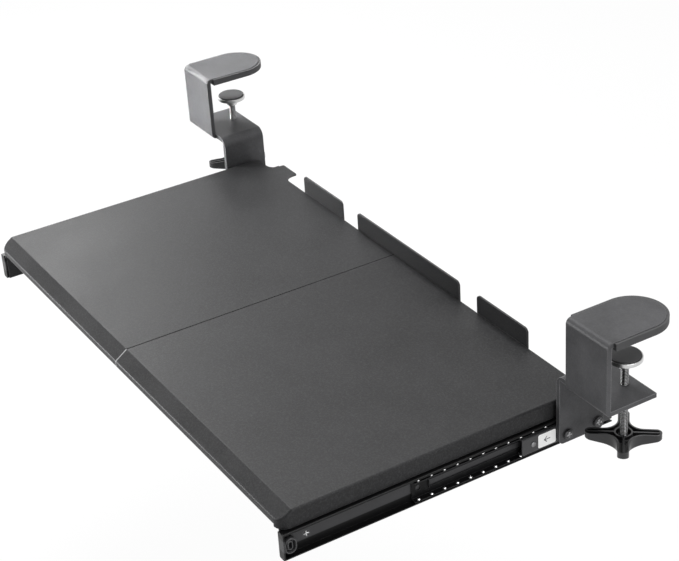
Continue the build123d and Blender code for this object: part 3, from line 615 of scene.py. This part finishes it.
# Spindles: zinc-plated M6 screws with a real helical thread, a plain neck that turns in the foot,
# and a welded nut under the jaw. The foot is a pressed cup with a collar.
thread_pitch = 0.00125
thread_depth = 0.00062
thread_steps = 8
thread_sides = 36
thread_sharp_angle = math.radians(60)
ridge_gain = 1.35
crest_share = 0.22
neck_share = 0.66
rivet_share = 0.8
spindle_end = 0.0005
# the crests are bright metal and the roots near black; the crests' brightness is partly painted
# highlight
thread_crest = zinc_plate("thread_crest", (0.5, 0.5, 0.51, 1), (0.3, 0.3, 0.3, 1))
thread_root = zinc_plate("thread_root", (0.035, 0.035, 0.036, 1), (0.015, 0.015, 0.015, 1))


def thread_radius(outer, turn, height):
    phase = (height / thread_pitch - turn) % 1.0
    ridge = 1 - abs(phase * 2 - 1)
    return outer - thread_depth * (1 - min(1.0, ridge * ridge_gain))


def spindle(side):
    low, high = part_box(side + "_clamp_screw")
    cup_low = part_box(side + "_pressure_cup")[0]
    outer = (high.x - low.x) / 2
    centre = (low + high) / 2
    neck = outer * neck_share
    shoulder = high.z - outer * rivet_share
    rings = []
    rows = int((cup_low.z - low.z) / thread_pitch * thread_steps)
    for row in range(rows + 1):
        z = low.z + (cup_low.z - low.z) * row / rows
        taper = min(1.0, (z - low.z) / spindle_end, (cup_low.z - z) / spindle_end)
        ring = []
        for side_step in range(thread_sides):
            turn = side_step / thread_sides
            radius = thread_radius(outer, turn, z)
            ring.append((turn, radius * taper + (outer - thread_depth) * (1 - taper), z))
        rings.append(ring)
    neck_rings = [(neck, cup_low.z), (neck, shoulder), (outer, shoulder), (outer, high.z)]
    for radius, z in neck_rings:
        rings.append([(step / thread_sides, radius, z) for step in range(thread_sides)])
    shape = bmesh.new()
    loops = []
    for ring in rings:
        loop = []
        for turn, radius, z in ring:
            angle = math.tau * turn
            x = centre.x + radius * math.cos(angle)
            y = centre.y + radius * math.sin(angle)
            loop.append(shape.verts.new((x, y, z)))
        loops.append(loop)
    for lower, upper in zip(loops, loops[1:]):
        for step in range(thread_sides):
            after = (step + 1) % thread_sides
            shape.faces.new((lower[step], lower[after], upper[after], upper[step]))
    shape.faces.new(loops[0][::-1])
    shape.faces.new(loops[-1])
    mesh = bpy.data.meshes.new(side + "_spindle")
    shape.to_mesh(mesh)
    shape.free()
    mesh.shade_smooth()
    mesh.set_sharp_from_angle(angle=thread_sharp_angle)
    mesh.materials.append(thread_crest)
    mesh.materials.append(thread_root)
    crest_reach = outer - thread_depth * crest_share
    for face in mesh.polygons:
        reach = math.hypot(face.center.x - centre.x, face.center.y - centre.y)
        face.material_index = int(face.center.z < cup_low.z and reach < crest_reach)
    piece = bpy.data.objects.new(side + "_spindle", mesh)
    bpy.context.scene.collection.objects.link(piece)
    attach(piece, side + "_screw")
    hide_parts(side + "_clamp_screw")


for side in sides:
    spindle(side)
    softened(side + "_clamp_nut", bright_zinc, 0.0004)
    softened(side + "_pressure_cup", bright_zinc, 0.0003, 3)


# Star knobs: moulded black plastic on the spindles' lower ends, with ribbed channels in the arms
# and a ring round the hub. Their edges are a little paler, partly rubbed by fingers and partly as
# painted edge highlight.
knob_plastic = moulded_plastic(
    "knob_plastic", (0.01, 0.01, 0.0108, 1), (0.02, 0.02, 0.0215, 1), (0.16, 0.16, 0.165, 1), 0.2
)
for side in sides:
    softened(side + "_knob", knob_plastic, 0.0005, 3)


# Studio: a pale floor well below the tray, an even pale surround and six soft lamps, which stand
# at the left, low in front, above, and twice at the right, with a narrow one on the left clamp.
floor_drop = 0.25
floor_z = cad_bounds[0][2] - floor_drop
floor_half = 6.0
glow_share = 0.93
surround_strength = 0.12
floor_mesh = bpy.data.meshes.new("studio_floor")
corners = [(-1, -1), (1, -1), (1, 1), (-1, 1)]
floor_verts = [(x * floor_half, y * floor_half, floor_z) for x, y in corners]
floor_mesh.from_pydata(floor_verts, [], [(0, 1, 2, 3)])
studio_floor = bpy.data.objects.new("studio_floor", floor_mesh)
bpy.context.scene.collection.objects.link(studio_floor)


def seen_directly(start):
    camera = start.node("ShaderNodeLightPath", output="Is Camera Ray")
    glossy = start.node("ShaderNodeLightPath", output="Is Glossy Ray")
    through = start.node("ShaderNodeLightPath", output="Is Transmission Ray")
    return (camera + glossy + through).clamp()


floor_finish, start = blank_finish("studio_floor")
chalk = noise(start, size=0.4, detail=3.0)
pale = mixed(start, chalk, (0.86, 0.86, 0.86, 1), (0.9, 0.9, 0.9, 1))
matte = start.node("ShaderNodeBsdfDiffuse", inputs={"Color": pale})
glow = start.node("ShaderNodeEmission", inputs={"Color": (1, 1, 1, 1), "Strength": 1.0})
whitened = seen_directly(start) * glow_share
blend = start.node("ShaderNodeMixShader", inputs={0: whitened, 1: matte, 2: glow})
start.node("ShaderNodeOutputMaterial", inputs={"Surface": blend})
floor_mesh.materials.append(floor_finish)

world = bpy.data.worlds.new("pale_surround")
bpy.context.scene.world = world
world.use_nodes = True
world.node_tree.nodes.clear()
sky = Socket(world.node_tree)
dim = {"Color": (0.95, 0.96, 1, 1), "Strength": surround_strength}
even_light = sky.node("ShaderNodeBackground", inputs=dim)
white = sky.node("ShaderNodeBackground", inputs={"Color": (1, 1, 1, 1), "Strength": 1.0})
sky_mix = sky.node("ShaderNodeMixShader", inputs={0: seen_directly(sky), 1: even_light, 2: white})
sky.node("ShaderNodeOutputWorld", inputs={"Surface": sky_mix})


def soft_lamp(name, place, target, size, power, spread=180):
    lamp = bpy.data.lights.new(name, "AREA")
    lamp.spread = math.radians(spread)
    lamp.shape = "RECTANGLE"
    lamp.size, lamp.size_y = size
    lamp.energy = power
    holder = bpy.data.objects.new(name, lamp)
    holder.location = place
    holder.rotation_euler = (Vector(target) - Vector(place)).to_track_quat("-Z", "Y").to_euler()
    holder.visible_camera = False
    bpy.context.scene.collection.objects.link(holder)


tray_middle = (0, -0.1, -0.08)
soft_lamp("left_softbox", (-1.45, 0.0, 0.72), (-0.15, -0.1, -0.08), (0.7, 0.5), power=15)
soft_lamp("front_softbox", (-0.9, -0.95, 0.0), (-0.2, 0, 0), (0.5, 0.5), power=16)
soft_lamp(
    "left_clamp_lamp", (-0.95, -0.6, 0.4), (-0.33, 0.06, 0.07), (0.3, 0.3), power=1.3, spread=20
)
soft_lamp("top_softbox", (-0.7, 0.2, 1.6), (-0.15, 0, 0), (1.1, 0.8), power=24)
soft_lamp("right_strip", (1.05, 0.35, 1.25), (0.2, 0, -0.1), (1.0, 0.4), power=11)
soft_lamp("right_fill", (1.8, -0.2, 0.1), tray_middle, (0.8, 0.8), power=9)


# Camera: the photograph's own viewpoint, above and to the right of the front edge, with a long
# lens. Its place, turn and focal length were fitted to corners and edges seen in the photograph.
view_azimuth = math.radians(60.3)
view_elevation = math.radians(29.5)
view_roll = math.radians(-3.9)
sensor_width = 36.0
image_width = 679
focal_pixels = 1791.7
camera_place = Vector((1.1501, -0.6869, 0.6714))
ahead = Vector(
    (
        -math.sin(view_azimuth) * math.cos(view_elevation),
        math.cos(view_azimuth) * math.cos(view_elevation),
        -math.sin(view_elevation),
    )
)
across = ahead.cross(Vector((0, 0, 1))).normalized()
down = ahead.cross(across)
right = math.cos(view_roll) * across - math.sin(view_roll) * down
below = math.sin(view_roll) * across + math.cos(view_roll) * down
lens = bpy.data.cameras.new("photo_camera")
lens.sensor_width = sensor_width
lens.lens = focal_pixels / image_width * sensor_width
lens.clip_start = 0.05
lens.clip_end = 40.0
camera = bpy.data.objects.new("photo_camera", lens)
turned = Matrix((right, -below, -ahead)).transposed().to_4x4()
camera.matrix_world = Matrix.Translation(camera_place) @ turned
bpy.context.scene.collection.objects.link(camera)
bpy.context.scene.camera = camera
bpy.context.scene.view_settings.view_transform = "Standard"

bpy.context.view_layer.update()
